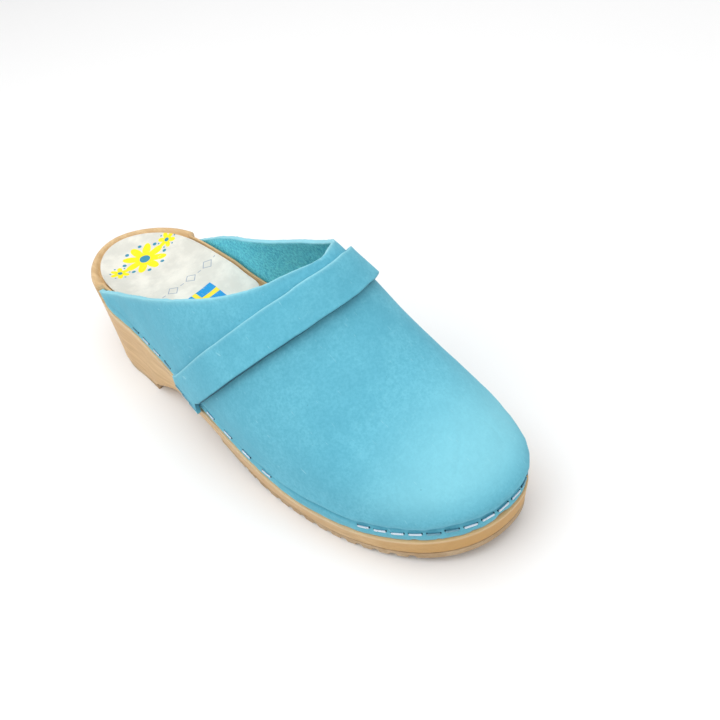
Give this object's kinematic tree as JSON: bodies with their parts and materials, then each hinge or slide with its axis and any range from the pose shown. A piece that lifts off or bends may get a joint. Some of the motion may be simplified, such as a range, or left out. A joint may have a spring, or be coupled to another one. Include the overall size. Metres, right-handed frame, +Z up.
{
  "type": "clog",
  "caption": "Right-foot clog: a contoured wooden sole with a raised heel, rubber treads, a closed-toe leather upper open at the back, an instep strap and a thin footbed pad.",
  "frame": {"origin": "on the floor below the middle of the shoe's bounding box", "axes": "+Y towards the toe, +X to the outer side of the foot, +Z up"},
  "size_m": [0.086, 0.253, 0.1006],
  "materials": {
    "wood": "satin, fine straight grain",
    "rubber": "matt",
    "leather": "soft matt nubuck",
    "pad": "smooth matt with a printed ornament",
    "steel": "bright wire"
  },
  "bodies": {
    "root": {"wooden_sole": "wood", "heel_lift": "rubber", "forefoot_tread": "rubber", "upper": "leather", "strap": "leather", "insole_pad": "pad", "staple_01": "steel", "staple_02": "steel", "staple_03": "steel", "staple_04": "steel", "staple_05": "steel", "staple_06": "steel", "staple_07": "steel", "staple_08": "steel", "staple_09": "steel", "staple_10": "steel", "staple_11": "steel", "staple_12": "steel", "staple_13": "steel", "staple_14": "steel", "staple_15": "steel", "staple_16": "steel", "staple_17": "steel", "staple_18": "steel", "staple_19": "steel", "staple_20": "steel", "staple_21": "steel", "staple_22": "steel", "staple_23": "steel", "staple_24": "steel", "staple_25": "steel", "staple_26": "steel", "staple_27": "steel", "staple_28": "steel", "staple_29": "steel", "staple_30": "steel", "staple_31": "steel", "staple_32": "steel", "staple_33": "steel", "staple_34": "steel", "staple_35": "steel", "staple_36": "steel", "staple_37": "steel", "staple_38": "steel", "staple_39": "steel", "staple_40": "steel", "staple_41": "steel"}
  },
  "joints": []
}
